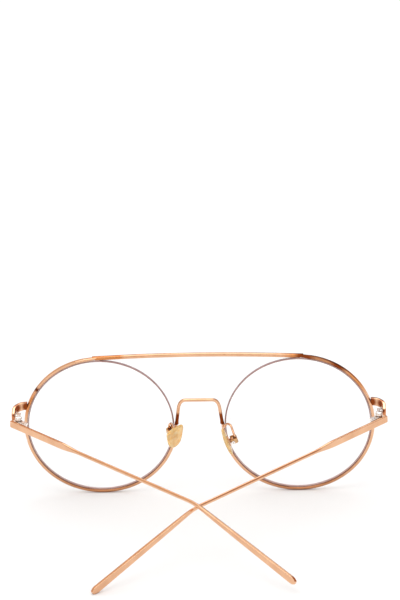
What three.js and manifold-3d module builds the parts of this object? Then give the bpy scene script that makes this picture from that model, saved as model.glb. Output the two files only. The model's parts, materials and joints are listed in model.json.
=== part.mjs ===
// Round metal spectacles with a brow bar over two round lenses, held half open with the temples crossed.
// Units are millimetres. In the finished group +X is the wearer's right, +Y is forward and +Z is up.
// Inside the front's own frame, the face frame, X is the wearer's right, Y is up the front and Z points back
// at the wearer.

import * as THREE from 'three';
import { mergeVertices } from 'three/addons/utils/BufferGeometryUtils.js';
import Module from 'manifold-3d';

const wasm = await Module();
wasm.setup();

// Driving dimensions of the front
const LENS_RADIUS = 27.4;
const LENS_SPACING = 74.0; // centre to centre, so the lenses stand 19.2 apart
const LENS_THICKNESS = 1.3;
const LENS_SURFACE_RADIUS = 212; // a base curve of 2.5
const LENS_GROOVE_DEPTH = 0.4;
const LENS_GROOVE_WIDTH = 0.6;
const RIM_OUTER_RADIUS = 28.75;
const RIM_INNER_RADIUS = 27.5;
const RIM_DEPTH = 1.6;
const RIM_TONGUE_HEIGHT = 0.3; // the rib that sits in the lens's groove
const RIM_TONGUE_WIDTH = 0.4;
const LENS_CENTRE_Y = RIM_OUTER_RADIUS; // the rims' lowest line is Y = 0 of the face frame

// The brow bar: a shallow arch that meets each rim just outboard of the lens's top
const BAR_HEIGHT = 1.5;
const BAR_DEPTH = 1.2;
const BAR_CENTRE_Y = 58.1;
const BAR_RISE = 1.25;
const BAR_CORNER_X = 42.0; // where the rim leaves the circle and follows the bar's line
const BAR_END_X = 37.9;
const SOLDER_GAP = 0.1;

// The bridge, an upturned U of round wire between the rims' nasal ends
const BRIDGE_WIRE_RADIUS = 0.64;
const BRIDGE_TOP_HALF_WIDTH = 4.9;
const BRIDGE_CORNER = [7.15, 38.97];
const BRIDGE_SHOULDER = [7.7, 35.7];
const BRIDGE_FOOT = [8.6, 28.92];

// Nylon cord round each lens where there is no rim
const CORD_RADIUS = 0.25;
const CORD_CIRCLE_RADIUS = 27.3;
const CORD_SPAN_DEGREES = [91, 179];

// Hinges
const HINGE_X = 67.0;
const HINGE_Z = 9.5;
const HINGE_Y = 36.185;
const HINGE_HEIGHT = 2.6;
const KNUCKLE_RADIUS = 1.35;
const KNUCKLE_GAP = 0.1;
const TEMPLE_KNUCKLE_HEIGHT = 0.9;
const HINGE_BORE_RADIUS = 0.78;
const HINGE_SCREW_RADIUS = 0.7;
const HINGE_HEAD_RADIUS = 1.15;
const HINGE_HEAD_HEIGHT = 0.5;
const HINGE_PLATE_THICKNESS = 0.75;
const HINGE_PLATE_SPAN = [1.9, 5.2]; // from the axis, along the strip that it is soldered to
const HINGE_ARM_WIDTH = 1.95;
const HINGE_ARM_INSET = 0.02; // keeps the arm's side inside the barrel's round
const SCREW_TIP_CHAMFER = 0.15;
const SCREW_HEAD_CHAMFER = 0.2;

// End pieces: a strip that leaves the rim, turns the corner and runs back to the hinge
const END_PIECE_THICKNESS = 1.2;
const END_PIECE_HEIGHT = 3.1;
const END_PIECE_Y = 37.435;
const END_PIECE_BITE = 2; // how far the strip is drawn into the rim before the rim's round is cut from it
const END_PIECE_FALL = 0.13; // millimetres down for each millimetre of run back
const END_PIECE_CORNER_RADIUS = 4.4;

// Temples
const BLADE_OFFSET = 2.1; // the blade's middle stands this far outboard of the hinge axis
const BLADE_THICKNESS = 1.1;
const BLADE_HEIGHT = 2.7;
const BLADE_AHEAD = 2.0; // the blade starts this far ahead of the hinge axis
const BLADE_END = 23.5;
const BLADE_TAPER_END = 33.0;
const BUTT_GAP = 0.15;
const ROD_DIAMETER = 1.4;
const TEMPLE_Y = 35.285;
const TEMPLE_TO_BEND = 86.4;
const EAR_BEND_LENGTH = 7.7;
const EAR_BEND_DEGREES = 17.35;
const TEMPLE_AFTER_BEND = 45.1;
const PADDLE_HEIGHT = 3.0;
const PADDLE_THICKNESS = 1.2;
const PADDLE_TIP_LENGTH = 1.6;
const TEMPLE_FALL_DEGREES = { left: 0.18, right: 2.03 }; // the left temple lies over the right one
const FOLD_DEGREES = { left: 49.1, right: 50.1 }; // half folded, 0 is fully open

// Nose pads
const PAD_LENGTH = 11.2;
const PAD_WIDTH = 7.6;
const PAD_THICKNESS = 1.6;
const PAD_STANDOFF = 2.3; // from the screw's axis to the pad's middle
const PAD_BEVEL = 0.5;
const PAD_CORE = { width: 2.6, length: 4.4, thickness: 0.4 };
const PAD_TAB = { width: 1.1, radius: 0.95 };
const PAD_BOX = { width: 2.6, height: 2.2, cheek: 0.65, front: 0.65, back: -1.9, wall: 0.6 };
const PAD_SCREW_RADIUS = 0.4;
const PAD_BORE_RADIUS = 0.46;
const PAD_SCREW_HEAD = { radius: 0.75, height: 0.4 };
const PAD_ARM_RADIUS = 0.42;
// Each pad: where its screw is and how it is set, turned towards the wearer, spread at the foot and foot
// forward. The arm starts behind the rim, follows its route and comes down onto the box from the given
// heights over it.
const PADS = {
  left: {
    at: [10.5, 28.1, 4.8],
    turn: 50,
    spread: 18,
    pitch: 12,
    route: [[9.03, 27.55, 1.0], [9.25, 27.85, 1.8], [10.1, 29.2, 2.7], [10.5, 30.9, 3.3]],
    overBox: [1.7, SOLDER_GAP],
  },
  right: {
    at: [12.4, 25.2, 6.2],
    turn: 5.5,
    spread: 18,
    pitch: 16,
    route: [[9.03, 27.55, 1.0], [9.3, 28.2, 1.8], [10.4, 30.1, 2.8], [11.7, 30.3, 4.2], [12.5, 28.9, 5.6]],
    overBox: [1.2, SOLDER_GAP],
  },
};

// The whole front leans towards the temples until the rims and the lower temple's tip stand on one plane.
const LEAN_DEGREES = 8.8;

const SIDES = [['left', -1], ['right', 1]];
const { clamp, degToRad, lerp, smoothstep } = THREE.MathUtils;

const finish = (color, roughness, metalness, opacity = 1) =>
  new THREE.MeshStandardMaterial({ color, roughness, metalness, opacity, transparent: opacity < 1 });
const ROSE_GOLD = finish(0xdda282, 0.2, 1);
const BRIGHT_STEEL = finish(0xf0e6de, 0.25, 1);
const CLEAR_LENS = finish(0xf7f8fa, 0.03, 0, 0.25);
const NYLON = finish(0x9a868c, 0.4, 0);
const SILICONE = finish(0xf6d79a, 0.35, 0, 0.8);

const assembly = new THREE.Group();
const face = new THREE.Group();
face.rotation.x = degToRad(90 + LEAN_DEGREES);
assembly.add(face);

function addPiece(parent, name, geometry, material) {
  const mesh = new THREE.Mesh(geometry, material);
  mesh.name = name;
  parent.add(mesh);
}

// Joining and cutting

function toSolid(geometry) {
  const bare = new THREE.BufferGeometry();
  bare.setAttribute('position', geometry.getAttribute('position').clone());
  if (geometry.index) bare.setIndex(geometry.index.clone());
  const merged = mergeVertices(bare, 1e-4);
  return new wasm.Manifold(new wasm.Mesh({
    numProp: 3,
    vertProperties: Float32Array.from(merged.getAttribute('position').array),
    triVerts: Uint32Array.from(merged.index.array),
  }));
}

function toGeometry(solid) {
  const mesh = solid.getMesh();
  const geometry = new THREE.BufferGeometry();
  geometry.setAttribute('position', new THREE.BufferAttribute(mesh.vertProperties, 3));
  geometry.setIndex(new THREE.BufferAttribute(mesh.triVerts, 1));
  geometry.computeVertexNormals();
  return geometry;
}

const block = (low, high) => new THREE.BoxGeometry(high[0] - low[0], high[1] - low[1], high[2] - low[2])
  .translate((low[0] + high[0]) / 2, (low[1] + high[1]) / 2, (low[2] + high[2]) / 2);

// A round bar along Y from one height to another
const pin = (radius, low, high, sides = 24) =>
  new THREE.CylinderGeometry(radius, radius, high - low, sides).translate(0, (low + high) / 2, 0);

const joined = (pieces) => pieces.map(toSolid).reduce((sum, piece) => sum.add(piece));

// The same piece for the other side: X changes sign and each triangle turns round, so faces still point out.
function mirrored(geometry) {
  const flipped = geometry.index ? geometry.toNonIndexed() : geometry.clone();
  flipped.scale(-1, 1, 1);
  const position = flipped.getAttribute('position');
  const first = new THREE.Vector3();
  const second = new THREE.Vector3();
  for (let i = 0; i < position.count; i += 3) {
    first.fromBufferAttribute(position, i);
    second.fromBufferAttribute(position, i + 1);
    position.setXYZ(i, second.x, second.y, second.z);
    position.setXYZ(i + 1, first.x, first.y, first.z);
  }
  flipped.computeVertexNormals();
  return flipped;
}

// Shapes

const outlineOf = (points) => new THREE.Shape(points.map(([x, y]) => new THREE.Vector2(x, y)));

const ringOfPoints = (radius, count) => outlineOf(Array.from({ length: count }, (_, i) => {
  const angle = 2 * Math.PI * i / count;
  return [radius * Math.cos(angle), radius * Math.sin(angle)];
}));

const swept = (section, path, steps) =>
  new THREE.ExtrudeGeometry(section, { steps, extrudePath: path, bevelEnabled: false });

// A slab whose outline is drawn in X and Z and which stands between two heights
const slabAcross = (outline, low, high) =>
  new THREE.ExtrudeGeometry(outline, { depth: high - low, bevelEnabled: false, curveSegments: 12 })
    .rotateX(Math.PI / 2).translate(0, high, 0);

// A closed bar whose sections change along it: a cylinder's rings are moved onto the sections.
// sectionAt gives the middle, the direction of travel, the half width vector and the half height.
function loftedBar(sides, stations, sectionAt) {
  const geometry = new THREE.CylinderGeometry(1, 1, 1, sides, stations);
  const position = geometry.getAttribute('position');
  const point = new THREE.Vector3();
  const rounded = (value, power) => {
    const size = Math.abs(value);
    return size < 1e-6 ? 0 : Math.sign(value) * size ** (2 / power);
  };
  for (let i = 0; i < position.count; i += 1) {
    point.fromBufferAttribute(position, i);
    const { middle, travel, across, halfHeight, power } = sectionAt(0.5 - point.y);
    const up = new THREE.Vector3().crossVectors(travel, across).normalize();
    const reach = Math.hypot(point.x, point.z);
    const turn = Math.atan2(point.z, point.x);
    const moved = middle.clone()
      .addScaledVector(across, reach * rounded(Math.cos(turn), power))
      .addScaledVector(up, reach * halfHeight * rounded(Math.sin(turn), power));
    position.setXYZ(i, moved.x, moved.y, moved.z);
  }
  return geometry;
}

// Front: every piece is drawn for the wearer's right, and the left one is its mirror image

function lensGeometry() {
  const sag = (radius) => LENS_SURFACE_RADIUS - Math.sqrt(LENS_SURFACE_RADIUS ** 2 - radius ** 2);
  const dome = (radius) => sag(LENS_RADIUS) - sag(radius);
  const half = LENS_THICKNESS / 2;
  const grooveHalf = LENS_GROOVE_WIDTH / 2;
  const grooveRadius = LENS_RADIUS - LENS_GROOVE_DEPTH;
  const rings = Array.from({ length: 5 }, (_, i) => LENS_RADIUS * i / 4);
  const profile = [
    ...rings.map((radius) => [radius, dome(radius) - half]),
    [LENS_RADIUS, -grooveHalf],
    [grooveRadius, -grooveHalf],
    [grooveRadius, grooveHalf],
    [LENS_RADIUS, grooveHalf],
    ...rings.toReversed().map((radius) => [radius, dome(radius) + half]),
  ].map(([radius, forward]) => new THREE.Vector2(radius, forward));
  return new THREE.LatheGeometry(profile, 60).rotateX(-Math.PI / 2)
    .translate(LENS_SPACING / 2, LENS_CENTRE_Y, 0);
}

const barHeightAt = (x) => BAR_CENTRE_Y - BAR_RISE * (x / BAR_CORNER_X) ** 2;

// A curve given by a function of t
class Line extends THREE.Curve {
  constructor(pointAt) {
    super();
    this.pointAt = pointAt;
  }

  getPoint(t, target = new THREE.Vector3()) {
    return target.set(...this.pointAt(t));
  }
}

const aroundLens = (radius, angle) =>
  [LENS_SPACING / 2 + radius * Math.cos(angle), LENS_CENTRE_Y + radius * Math.sin(angle), 0];

// The rim runs anticlockwise: a circle from the nasal end under the lens and up to the corner, then the bar's
// line.
function rimLine() {
  const radius = (RIM_OUTER_RADIUS + RIM_INNER_RADIUS) / 2;
  const cornerAngle = Math.acos((BAR_CORNER_X - LENS_SPACING / 2) / radius);
  const arcLength = radius * (cornerAngle + Math.PI);
  const lineLength = BAR_CORNER_X - BAR_END_X - SOLDER_GAP;
  const cornerHeight = LENS_CENTRE_Y + radius * Math.sin(cornerAngle);
  return new Line((t) => {
    const along = t * (arcLength + lineLength);
    if (along <= arcLength) return aroundLens(radius, along / radius - Math.PI);
    const run = along - arcLength;
    const x = BAR_CORNER_X - run;
    return [x, lerp(cornerHeight, barHeightAt(x), run / lineLength), 0];
  });
}

function rimGeometry() {
  const half = (RIM_OUTER_RADIUS - RIM_INNER_RADIUS) / 2;
  const depth = RIM_DEPTH / 2;
  const tongue = RIM_TONGUE_WIDTH / 2;
  const tongueTop = half + RIM_TONGUE_HEIGHT;
  const section = outlineOf([
    [-depth, -half], [depth, -half], [depth, half], [tongue, half],
    [tongue, tongueTop], [-tongue, tongueTop], [-tongue, half], [-depth, half],
  ]);
  return swept(section, rimLine(), 80);
}

function browBarGeometry() {
  const section = outlineOf([[-1, -1], [1, -1], [1, 1], [-1, 1]]
    .map(([x, y]) => [x * BAR_DEPTH / 2, y * BAR_HEIGHT / 2]));
  return swept(section, new Line((t) => {
    const x = lerp(BAR_END_X, -BAR_END_X, t);
    return [x, barHeightAt(x), 0];
  }), 24);
}

function bridgeGeometry() {
  const point = (side, x, y) => new THREE.Vector3(side * x, y, 0);
  const [right, left] = [1, -1].map((side) => ({
    foot: point(side, ...BRIDGE_FOOT),
    shoulder: point(side, ...BRIDGE_SHOULDER),
    corner: point(side, ...BRIDGE_CORNER),
    top: point(side, BRIDGE_TOP_HALF_WIDTH, BRIDGE_CORNER[1]),
  }));
  const path = new THREE.CurvePath();
  path.add(new THREE.LineCurve3(right.foot, right.shoulder));
  path.add(new THREE.QuadraticBezierCurve3(right.shoulder, right.corner, right.top));
  path.add(new THREE.LineCurve3(right.top, left.top));
  path.add(new THREE.QuadraticBezierCurve3(left.top, left.corner, left.shoulder));
  path.add(new THREE.LineCurve3(left.shoulder, left.foot));
  return swept(ringOfPoints(BRIDGE_WIRE_RADIUS, 10), path, 34);
}

function lensCordGeometry() {
  const [start, end] = CORD_SPAN_DEGREES.map(degToRad);
  const line = new Line((t) => aroundLens(CORD_CIRCLE_RADIUS, lerp(start, end, t)));
  return swept(ringOfPoints(CORD_RADIUS, 6), line, 30);
}

function endPieceGeometry() {
  const half = END_PIECE_THICKNESS / 2;
  const lineX = HINGE_X + BLADE_OFFSET;
  const cornerX = lineX - END_PIECE_CORNER_RADIUS;
  const rear = HINGE_Z - BLADE_AHEAD - BUTT_GAP;
  const insideRim = LENS_SPACING / 2 + LENS_RADIUS - END_PIECE_BITE;
  const outline = new THREE.Shape();
  outline.moveTo(insideRim, -half);
  outline.lineTo(cornerX, -half);
  outline.absarc(cornerX, END_PIECE_CORNER_RADIUS, END_PIECE_CORNER_RADIUS + half, -Math.PI / 2, 0, false);
  outline.lineTo(lineX + half, rear);
  outline.lineTo(lineX - half, rear);
  outline.absarc(cornerX, END_PIECE_CORNER_RADIUS, END_PIECE_CORNER_RADIUS - half, 0, -Math.PI / 2, true);
  outline.lineTo(insideRim, half);
  const strip = slabAcross(outline, END_PIECE_Y - END_PIECE_HEIGHT / 2, END_PIECE_Y + END_PIECE_HEIGHT / 2);
  strip.applyMatrix4(new THREE.Matrix4().set(1, 0, 0, 0, 0, 1, -END_PIECE_FALL, 0, 0, 0, 1, 0, 0, 0, 0, 1));
  const clearance = RIM_OUTER_RADIUS + SOLDER_GAP;
  const rim = new THREE.CylinderGeometry(clearance, clearance, 10, 128).rotateX(Math.PI / 2)
    .translate(LENS_SPACING / 2, LENS_CENTRE_Y, 0);
  return toGeometry(toSolid(strip).subtract(toSolid(rim)));
}

// Hinges, drawn about their own axis: X outboard, Y up the axis, Z back along the open temple

// A leaf of the hinge: a plate soldered inside the strip, with one barrel for each span of height
function hingeLeaf(direction, spans) {
  const plateRight = BLADE_OFFSET - BLADE_THICKNESS / 2 - SOLDER_GAP;
  const [near, far] = HINGE_PLATE_SPAN;
  const reach = (from, to) => [direction * from, direction * to].sort((a, b) => a - b);
  const [plateFront, plateBack] = reach(near, far);
  const [armFront, armBack] = reach(0, far - 1);
  const armRight = KNUCKLE_RADIUS - HINGE_ARM_INSET;
  const pieces = [block(
    [plateRight - HINGE_PLATE_THICKNESS, spans[0][0], plateFront],
    [plateRight, spans.at(-1)[1], plateBack],
  )];
  for (const [bottom, top] of spans) {
    pieces.push(pin(KNUCKLE_RADIUS, bottom, top));
    pieces.push(block([armRight - HINGE_ARM_WIDTH, bottom, armFront], [armRight, top, armBack]));
  }
  return toGeometry(joined(pieces).subtract(toSolid(pin(HINGE_BORE_RADIUS, -HINGE_HEIGHT, HINGE_HEIGHT))));
}

const KNUCKLE_TOP = TEMPLE_KNUCKLE_HEIGHT / 2;
const frontLeafGeometry = () => hingeLeaf(-1, [
  [-HINGE_HEIGHT / 2, -KNUCKLE_TOP - KNUCKLE_GAP],
  [KNUCKLE_TOP + KNUCKLE_GAP, HINGE_HEIGHT / 2],
]);
const templeLeafGeometry = () => hingeLeaf(1, [[-KNUCKLE_TOP, KNUCKLE_TOP]]);

function hingeScrewGeometry() {
  const bottom = -HINGE_HEIGHT / 2;
  const under = HINGE_HEIGHT / 2 + SOLDER_GAP / 2;
  const top = under + HINGE_HEAD_HEIGHT;
  const profile = [
    [0, bottom],
    [HINGE_SCREW_RADIUS - SCREW_TIP_CHAMFER, bottom],
    [HINGE_SCREW_RADIUS, bottom + SCREW_TIP_CHAMFER],
    [HINGE_SCREW_RADIUS, under],
    [HINGE_HEAD_RADIUS, under],
    [HINGE_HEAD_RADIUS, top - SCREW_HEAD_CHAMFER],
    [HINGE_HEAD_RADIUS - SCREW_HEAD_CHAMFER, top],
    [0, top],
  ].map(([radius, y]) => new THREE.Vector2(radius, y));
  return new THREE.LatheGeometry(profile, 20);
}

// Temples, drawn open about the hinge axis like the hinge leaves

// Where the temple's middle line is at a distance along it, and how steeply it falls there
function templeLineAt(along, fallDegrees) {
  const fall = degToRad(fallDegrees);
  const bend = degToRad(EAR_BEND_DEGREES);
  const bendRadius = EAR_BEND_LENGTH / bend;
  const straight = Math.min(along, TEMPLE_TO_BEND);
  const turned = clamp(along - TEMPLE_TO_BEND, 0, EAR_BEND_LENGTH) / bendRadius;
  const past = Math.max(along - TEMPLE_TO_BEND - EAR_BEND_LENGTH, 0);
  const slope = fall + turned;
  const bendBack = bendRadius * (Math.sin(slope) - Math.sin(fall));
  const bendDown = bendRadius * (Math.cos(fall) - Math.cos(slope));
  return {
    back: straight * Math.cos(fall) + bendBack + past * Math.cos(slope),
    down: straight * Math.sin(fall) + bendDown + past * Math.sin(slope),
    slope,
  };
}

function templeGeometry(fallDegrees) {
  const length = TEMPLE_TO_BEND + EAR_BEND_LENGTH + TEMPLE_AFTER_BEND;
  const paddleStart = TEMPLE_TO_BEND + EAR_BEND_LENGTH / 2;
  return loftedBar(12, 56, (t) => {
    const along = lerp(-BLADE_AHEAD, length, t);
    const { back, down, slope } = templeLineAt(along, fallDegrees);
    const toRod = smoothstep(along, BLADE_END, BLADE_TAPER_END);
    const toPaddle = Math.max(along - paddleStart, 0) / (length - paddleStart);
    const tip = Math.sqrt(1 - 0.8 * smoothstep(along, length - PADDLE_TIP_LENGTH, length));
    const height = lerp(lerp(BLADE_HEIGHT, ROD_DIAMETER, toRod), PADDLE_HEIGHT, toPaddle);
    const thickness = lerp(lerp(BLADE_THICKNESS, ROD_DIAMETER, toRod), PADDLE_THICKNESS, toPaddle);
    const flatness = Math.max(1 - toRod, Math.min(2 * toPaddle, 1));
    return {
      middle: new THREE.Vector3(BLADE_OFFSET, TEMPLE_Y - HINGE_Y - down, back),
      travel: new THREE.Vector3(0, -Math.sin(slope), Math.cos(slope)),
      across: new THREE.Vector3(thickness / 2, 0, 0),
      halfHeight: height / 2 * tip,
      power: lerp(2, 8, flatness),
    };
  });
}

// Nose pads, drawn about the pad screw's axis: X across the pad and along the screw, Y up, Z towards the nose

// A shield, broad near the top
function padOutline() {
  const half = PAD_WIDTH / 2;
  const top = PAD_LENGTH * 0.42;
  const bottom = top - PAD_LENGTH;
  const widest = top * 0.45;
  const outline = new THREE.Shape();
  outline.moveTo(0, bottom);
  outline.bezierCurveTo(half * 0.7, bottom, half * 0.86, bottom * 0.5, half, widest);
  outline.bezierCurveTo(half, top * 0.95, half * 0.8, top, 0, top);
  outline.bezierCurveTo(-half * 0.8, top, -half, top * 0.95, -half, widest);
  outline.bezierCurveTo(-half * 0.86, bottom * 0.5, -half * 0.7, bottom, 0, bottom);
  return outline;
}

function nosePadGeometry() {
  return new THREE.ExtrudeGeometry(padOutline(), {
    depth: PAD_THICKNESS - 2 * PAD_BEVEL,
    bevelThickness: PAD_BEVEL,
    bevelSize: PAD_BEVEL,
    bevelOffset: -PAD_BEVEL,
    bevelSegments: 2,
    curveSegments: 6,
  }).translate(0, 0, PAD_STANDOFF - PAD_THICKNESS / 2 + PAD_BEVEL);
}

const alongScrew = (geometry) => geometry.rotateZ(-Math.PI / 2);
const padBore = () => toSolid(alongScrew(pin(PAD_BORE_RADIUS, -PAD_BOX.width, PAD_BOX.width, 16)));

// The metal core behind the pad: a plate with a tab whose eye takes the screw
function padCoreGeometry() {
  const top = PAD_STANDOFF - PAD_THICKNESS / 2 - SOLDER_GAP;
  const low = top - PAD_CORE.thickness;
  const half = PAD_TAB.width / 2;
  const eye = alongScrew(pin(PAD_TAB.radius, -half, half, 16));
  const stem = block([-half, -PAD_TAB.radius * 0.7, 0], [half, PAD_TAB.radius * 0.7, (low + top) / 2]);
  const plate = block(
    [-PAD_CORE.width / 2, -PAD_CORE.length / 2, low],
    [PAD_CORE.width / 2, PAD_CORE.length / 2, top],
  );
  return toGeometry(joined([eye, stem, plate]).subtract(padBore()));
}

// The box on the arm's end: two cheeks either side of the tab, and a back
function padBoxGeometry() {
  const { width, height, cheek, front, back, wall } = PAD_BOX;
  const outer = block([-width / 2, -height / 2, back], [width / 2, height / 2, front]);
  const slot = block([-width / 2 + cheek, -height, back + wall], [width / 2 - cheek, height, front + 1]);
  return toGeometry(toSolid(outer).subtract(toSolid(slot)).subtract(padBore()));
}

function padScrewGeometry() {
  const half = PAD_BOX.width / 2;
  const under = half + SOLDER_GAP / 2;
  const profile = [
    [0, -half], [PAD_SCREW_RADIUS, -half], [PAD_SCREW_RADIUS, under], [PAD_SCREW_HEAD.radius, under],
    [PAD_SCREW_HEAD.radius, under + PAD_SCREW_HEAD.height], [0, under + PAD_SCREW_HEAD.height],
  ].map(([radius, y]) => new THREE.Vector2(radius, y));
  return alongScrew(new THREE.LatheGeometry(profile, 12));
}

// The arm: a wire from the rim's back, up and over in a loop, and down onto the top of the pad's box
function padArmGeometry(side, { route, overBox }, padGroup) {
  const { height, back, wall } = PAD_BOX;
  const above = (gap) => new THREE.Vector3(0, height / 2 + gap, back + wall).applyMatrix4(padGroup.matrix);
  const path = new THREE.CatmullRomCurve3([
    ...route.map(([x, y, z]) => new THREE.Vector3(side * x, y, z)),
    ...overBox.map(above),
  ]);
  return swept(ringOfPoints(PAD_ARM_RADIUS, 8), path, 22);
}

// Assembly

addPiece(face, 'brow_bar', browBarGeometry(), ROSE_GOLD);
addPiece(face, 'bridge_wire', bridgeGeometry(), ROSE_GOLD);

for (const [name, side] of SIDES) {
  const handed = (geometry) => (side > 0 ? geometry : mirrored(geometry));
  addPiece(face, `lens_${name}`, handed(lensGeometry()), CLEAR_LENS);
  addPiece(face, `rim_${name}`, handed(rimGeometry()), ROSE_GOLD);
  addPiece(face, `lens_cord_${name}`, handed(lensCordGeometry()), NYLON);
  addPiece(face, `end_piece_${name}`, handed(endPieceGeometry()), ROSE_GOLD);

  const hinge = new THREE.Group();
  hinge.position.set(side * HINGE_X, HINGE_Y, HINGE_Z);
  face.add(hinge);
  addPiece(hinge, `hinge_front_leaf_${name}`, handed(frontLeafGeometry()), BRIGHT_STEEL);
  addPiece(hinge, `hinge_screw_${name}`, handed(hingeScrewGeometry()), BRIGHT_STEEL);

  const swing = new THREE.Group();
  swing.rotation.y = -side * degToRad(FOLD_DEGREES[name]);
  hinge.add(swing);
  addPiece(swing, `hinge_temple_leaf_${name}`, handed(templeLeafGeometry()), BRIGHT_STEEL);
  addPiece(swing, `temple_${name}`, handed(templeGeometry(TEMPLE_FALL_DEGREES[name])), ROSE_GOLD);

  // In the pad's group X runs along the screw, Y up the pad and Z towards the nose.
  const { at, turn, spread, pitch } = PADS[name];
  const pad = new THREE.Group();
  pad.position.set(side * at[0], at[1], at[2]);
  pad.rotateY(-side * degToRad(90 - turn));
  pad.rotateX(degToRad(spread));
  pad.rotateZ(-side * degToRad(pitch));
  pad.updateMatrix();
  face.add(pad);
  addPiece(face, `pad_arm_${name}`, padArmGeometry(side, PADS[name], pad), ROSE_GOLD);
  addPiece(pad, `nose_pad_${name}`, handed(nosePadGeometry()), SILICONE);
  addPiece(pad, `pad_core_${name}`, handed(padCoreGeometry()), ROSE_GOLD);
  addPiece(pad, `pad_box_${name}`, handed(padBoxGeometry()), ROSE_GOLD);
  addPiece(pad, `pad_screw_${name}`, handed(padScrewGeometry()), BRIGHT_STEEL);
}

// The origin is under the middle of the whole, on the plane that it stands on.
assembly.updateMatrixWorld(true);
const bounds = new THREE.Box3().setFromObject(assembly, true);
const middle = bounds.getCenter(new THREE.Vector3());
assembly.position.set(-middle.x, -middle.y, -bounds.min.z);

export default assembly;
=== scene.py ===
"""Round rose gold spectacles with a straight brow bar, held half open with their temples crossed.

Lengths are in millimetres in the face frame: X to the wearer's right, Y up the front, Z back towards
the wearer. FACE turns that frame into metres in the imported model's frame. Pieces are drawn for the
wearer's right, and the left ones are mirrored.
"""

import json
import math

import bmesh
import bpy
from mathutils import Matrix, Vector


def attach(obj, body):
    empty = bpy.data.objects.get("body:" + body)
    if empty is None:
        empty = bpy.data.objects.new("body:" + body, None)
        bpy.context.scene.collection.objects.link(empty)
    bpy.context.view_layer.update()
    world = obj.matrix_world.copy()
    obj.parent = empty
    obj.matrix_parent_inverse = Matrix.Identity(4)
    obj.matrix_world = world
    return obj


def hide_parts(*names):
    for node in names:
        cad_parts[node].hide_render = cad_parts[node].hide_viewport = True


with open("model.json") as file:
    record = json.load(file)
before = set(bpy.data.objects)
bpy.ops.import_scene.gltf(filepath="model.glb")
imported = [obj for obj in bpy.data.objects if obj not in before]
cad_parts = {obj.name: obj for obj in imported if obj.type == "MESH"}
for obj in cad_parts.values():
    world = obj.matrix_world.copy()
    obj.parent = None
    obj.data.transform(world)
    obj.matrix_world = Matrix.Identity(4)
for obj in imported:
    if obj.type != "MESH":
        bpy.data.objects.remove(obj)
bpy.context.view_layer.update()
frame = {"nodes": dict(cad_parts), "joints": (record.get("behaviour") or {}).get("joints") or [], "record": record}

MM = 0.001
SIDES = (("left", -1), ("right", 1))

# Where the hinge axes stand in the face frame
HINGE_Y = 36.185
HINGE_Z = 9.5

# Camera
CAMERA_LENS = 201.85
CAMERA_SENSOR = 36.0
CAMERA_DISTANCE = 1235.1
CAMERA_TARGET = (1.59, 35.36, 81.06)
CAMERA_YAW = -1.61
CAMERA_PITCH = 17.85
CAMERA_ROLL = 1.31
LAMP_ENERGY = 0.7

# Front
LENS_SURFACE_RADIUS = 212.0
LENS_THICKNESS = 1.3
LENS_GROOVE_DEPTH = 0.4
LENS_GROOVE_WIDTH = 0.6
# Painted shade: how far in from the rim the lens faces take the mauve brown edge material.
LENS_EDGE_BAND = 0.08
LENS_BEVEL = 0.1
RIM_WALL = 1.25
RIM_CORNER = 0.52
BAR_CORNER = 0.36
BAR_RISE = 1.25
BAR_CORNER_X = 42.0
SCARF = 1.3
BRIDGE_RADIUS = 0.64
BRIDGE_TOP_HALF_WIDTH = 4.9
BRIDGE_CORNER = (7.15, 38.97)
BRIDGE_SHOULDER = (7.7, 35.7)
BRIDGE_FOOT = (8.6, 28.82)
CORD_RADIUS = 0.25
CORD_CIRCLE_RADIUS = 27.3
CORD_SPAN = (91.0, 179.0)

# Hinges and end pieces
HINGE_HEIGHT = 2.6
KNUCKLE_RADIUS = 1.35
KNUCKLE_GAP = 0.1
TEMPLE_KNUCKLE_HEIGHT = 0.9
HINGE_BORE_RADIUS = 0.74
HINGE_SCREW_RADIUS = 0.7
HINGE_HEAD_RADIUS = 1.15
HINGE_HEAD_HEIGHT = 0.5
HINGE_SCREW_SLOT = 0.34
SCREW_TIP_CHAMFER = 0.15
HINGE_PLATE_THICKNESS = 0.75
HINGE_PLATE_SPAN = (1.9, 5.2)
HINGE_ARM_WIDTH = 1.95
END_PIECE_THICKNESS = 1.2
END_PIECE_HEIGHT = 3.1
END_PIECE_Y = 37.435
END_PIECE_FALL = 0.13
END_PIECE_CORNER_RADIUS = 4.4

# Temples
BLADE_OFFSET = 2.1
BLADE_THICKNESS = 1.1
BLADE_HEIGHT = 2.7
BLADE_AHEAD = 2.0
BLADE_END = 23.5
BLADE_TAPER_END = 33.0
BUTT_GAP = 0.15
ROD_DIAMETER = 1.4
TEMPLE_Y = 35.285
TEMPLE_TO_BEND = 86.4
EAR_BEND_LENGTH = 7.7
EAR_BEND_DEGREES = 17.35
TEMPLE_AFTER_BEND = 45.1
PADDLE_HEIGHT = 3.0
PADDLE_THICKNESS = 1.2
PADDLE_TIP_LENGTH = 1.6
TEMPLE_FALL_DEGREES = {"left": 0.18, "right": 2.03}

# Nose pads
PAD_LENGTH = 11.2
PAD_WIDTH = 7.6
PAD_THICKNESS = 1.6
PAD_STANDOFF = 2.3
PAD_BOX_HALF_HEIGHT = 1.1
PAD_BOX_BACK = -1.9
PAD_BOX_FRONT = 0.65
PAD_BOX_HALF_WIDTH = 1.3
PAD_BOX_CHEEK = 0.65
PAD_BOX_WALL = 0.6
PAD_ARM_RADIUS = 0.42
PAD_CORE_RADIUS = 1.3
PAD_CORE_REACH = 1.0
PAD_CORE_THICKNESS = 0.4
PAD_TAB_RADIUS = 0.95
PAD_TAB_NECK = 0.67
PAD_TAB_THICKNESS = 1.1
PAD_TAB_EYE_RADIUS = 0.46
PAD_SCREW_RADIUS = 0.4
PAD_SCREW_HEAD_RADIUS = 0.75
PAD_SCREW_HEAD_HEIGHT = 0.4
PAD_SCREW_SLOT = 0.26
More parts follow.
